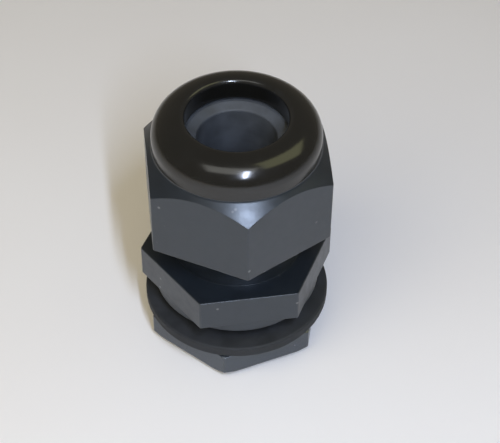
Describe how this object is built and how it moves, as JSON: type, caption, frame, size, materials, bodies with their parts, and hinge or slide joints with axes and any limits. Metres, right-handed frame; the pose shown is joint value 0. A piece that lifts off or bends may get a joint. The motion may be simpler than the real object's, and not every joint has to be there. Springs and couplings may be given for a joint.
{
  "type": "cable gland",
  "caption": "Loosened nylon cable gland: domed hexagonal sealing cap, rubber seal insert, flanged threaded body with clamping claws, loose sealing washer and locknut.",
  "frame": {"origin": "centre of the open end of the entry thread, on which the gland stands", "axes": "+Z along the cable axis towards the domed cap; -Y towards the side where a corner of the cap and of the locknut is nearly in front"},
  "size_m": [0.0268, 0.0276, 0.0386],
  "materials": {
    "black_nylon": "moulded black polyamide, glossy on the dome and satin on the flats",
    "seal_rubber": "matte dark grey nitrile rubber",
    "washer_rubber": "matte black rubber"
  },
  "bodies": {
    "body": {"gland_body": "black_nylon"},
    "seal": {"seal_insert": "seal_rubber"},
    "cap": {"sealing_cap": "black_nylon"},
    "washer": {"sealing_washer": "washer_rubber"},
    "nut": {"locknut": "black_nylon"}
  },
  "joints": [
    {"name": "seal_travel", "type": "slide", "parent": "body", "child": "seal", "axis": [0, 0, 1], "range_m": [-0.00451, 0.00226]},
    {"name": "cap_turn", "type": "hinge", "parent": "seal", "child": "cap", "pos_m": [0, 0, 0.0217], "axis": [0, 0, 1], "range_deg": [-1080, 540]},
    {"name": "washer_travel", "type": "slide", "parent": "body", "child": "washer", "axis": [0, 0, 1], "range_m": [-0.00091, 0.00181]},
    {"name": "locknut_turn", "type": "hinge", "parent": "washer", "child": "nut", "pos_m": [0, 0, 0.001], "axis": [0, 0, 1], "range_deg": [-216, 432]}
  ],
  "couplings": [
    {"joint": "seal_travel", "follows": "cap_turn", "m_per_rad": 0.00023873},
    {"joint": "washer_travel", "follows": "locknut_turn", "m_per_rad": 0.00023873}
  ]
}
